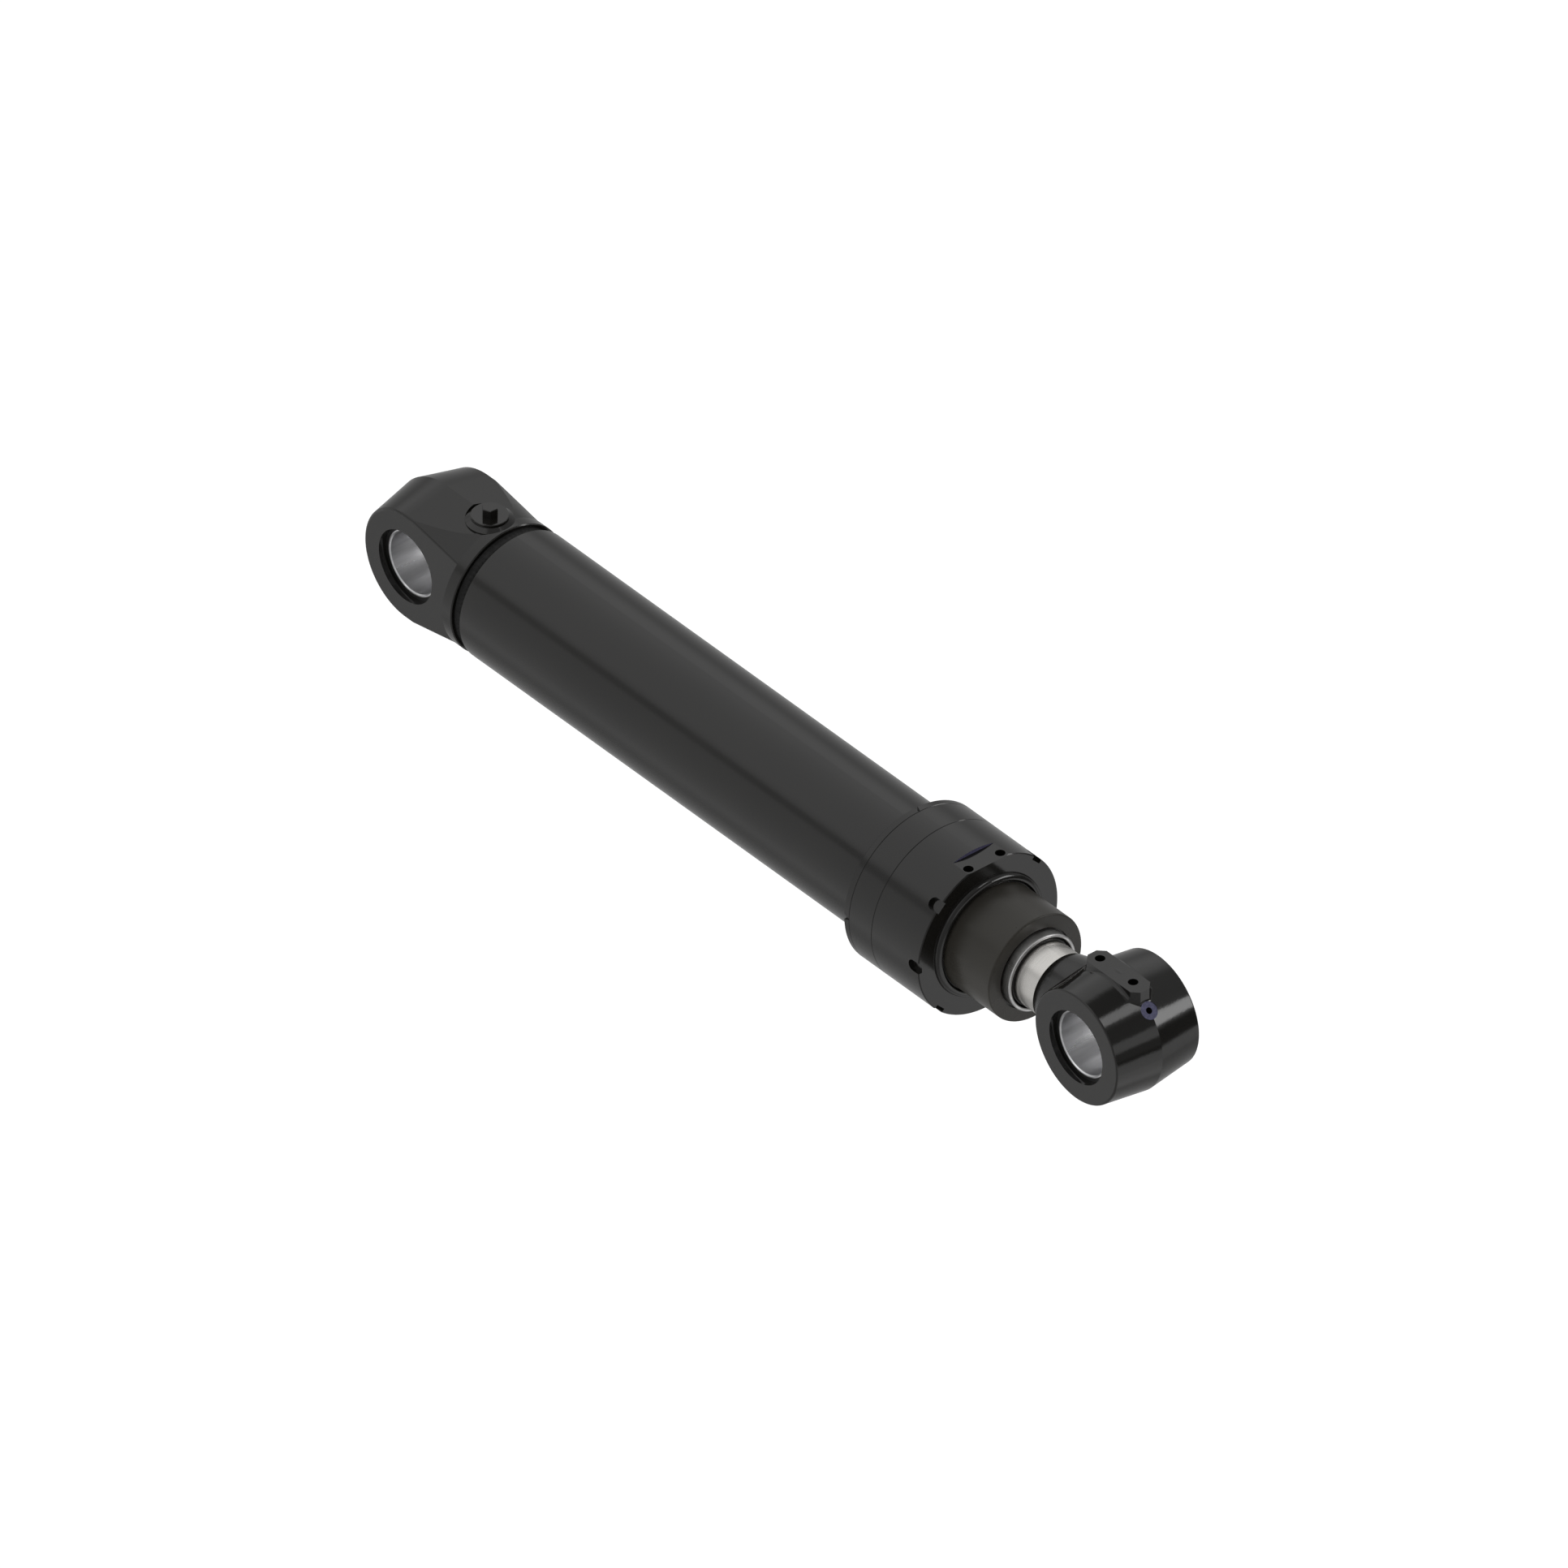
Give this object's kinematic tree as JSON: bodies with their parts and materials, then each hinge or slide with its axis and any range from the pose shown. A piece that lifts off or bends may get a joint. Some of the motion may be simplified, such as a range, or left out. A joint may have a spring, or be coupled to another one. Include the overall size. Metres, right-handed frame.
{
  "type": "telescopic hydraulic cylinder",
  "caption": "Telescopic hydraulic cylinder: welded barrel with a bushed base eye, a sealed sleeve stage and a chrome rod with a bushed rod eye.",
  "frame": {"origin": "centre of the base eye's bore", "axes": "+X along the cylinder towards the rod eye, Y along both eye bores, +Z towards the plugged port and the bolting pad"},
  "size_m": [1.12, 0.174, 0.174],
  "materials": {
    "black_paint": "gloss",
    "hard_chrome": "polished",
    "bush_steel": "fine turned",
    "machined_steel": "turned",
    "seal_rubber": "satin",
    "guide_resin": "matte"
  },
  "bodies": {
    "barrel": {"base_eye_casting": "black_paint", "base_eye_bush": "bush_steel", "base_dust_seals": "seal_rubber", "base_port_plug": "black_paint", "base_port_plug_seal": "seal_rubber", "base_weld": "black_paint", "barrel_tube": "black_paint", "collar_lock_ring": "black_paint", "collar_gland": "black_paint", "gland_o_ring": "seal_rubber", "gland_guide_band": "guide_resin", "gland_pressure_seal": "seal_rubber", "gland_wiper_ring": "black_paint", "gland_wiper_lip": "seal_rubber"},
    "stage_rings": {"stage_piston_seal": "seal_rubber", "stage_wear_bands": "guide_resin"},
    "stage": {"stage_tube": "hard_chrome", "stage_retaining_ring": "machined_steel", "stage_piston_ring": "machined_steel", "stage_head": "black_paint", "head_o_ring": "seal_rubber", "head_guide_band": "guide_resin", "head_pressure_seal": "seal_rubber", "head_lip_ring": "bush_steel", "head_wiper_lip": "seal_rubber"},
    "rod_rings": {"rod_piston_seal": "seal_rubber", "rod_wear_bands": "guide_resin"},
    "rod": {"piston_rod": "hard_chrome", "rod_piston": "machined_steel", "rod_piston_nut": "machined_steel", "rod_eye": "black_paint", "rod_eye_bush": "bush_steel", "rod_eye_dust_seals": "seal_rubber"}
  },
  "joints": [
    {"name": "stage_slide", "type": "slide", "parent": "barrel", "child": "stage_rings", "axis": [1, 0, 0], "range_m": [0, 0.569]},
    {"name": "stage_turn", "type": "hinge", "parent": "stage_rings", "child": "stage", "pos_m": [0.15, 0, 0], "axis": [1, 0, 0], "continuous": true},
    {"name": "rod_slide", "type": "slide", "parent": "stage", "child": "rod_rings", "axis": [1, 0, 0], "range_m": [0, 0.569]},
    {"name": "rod_turn", "type": "hinge", "parent": "rod_rings", "child": "rod", "pos_m": [0.15, 0, 0], "axis": [1, 0, 0], "continuous": true}
  ]
}
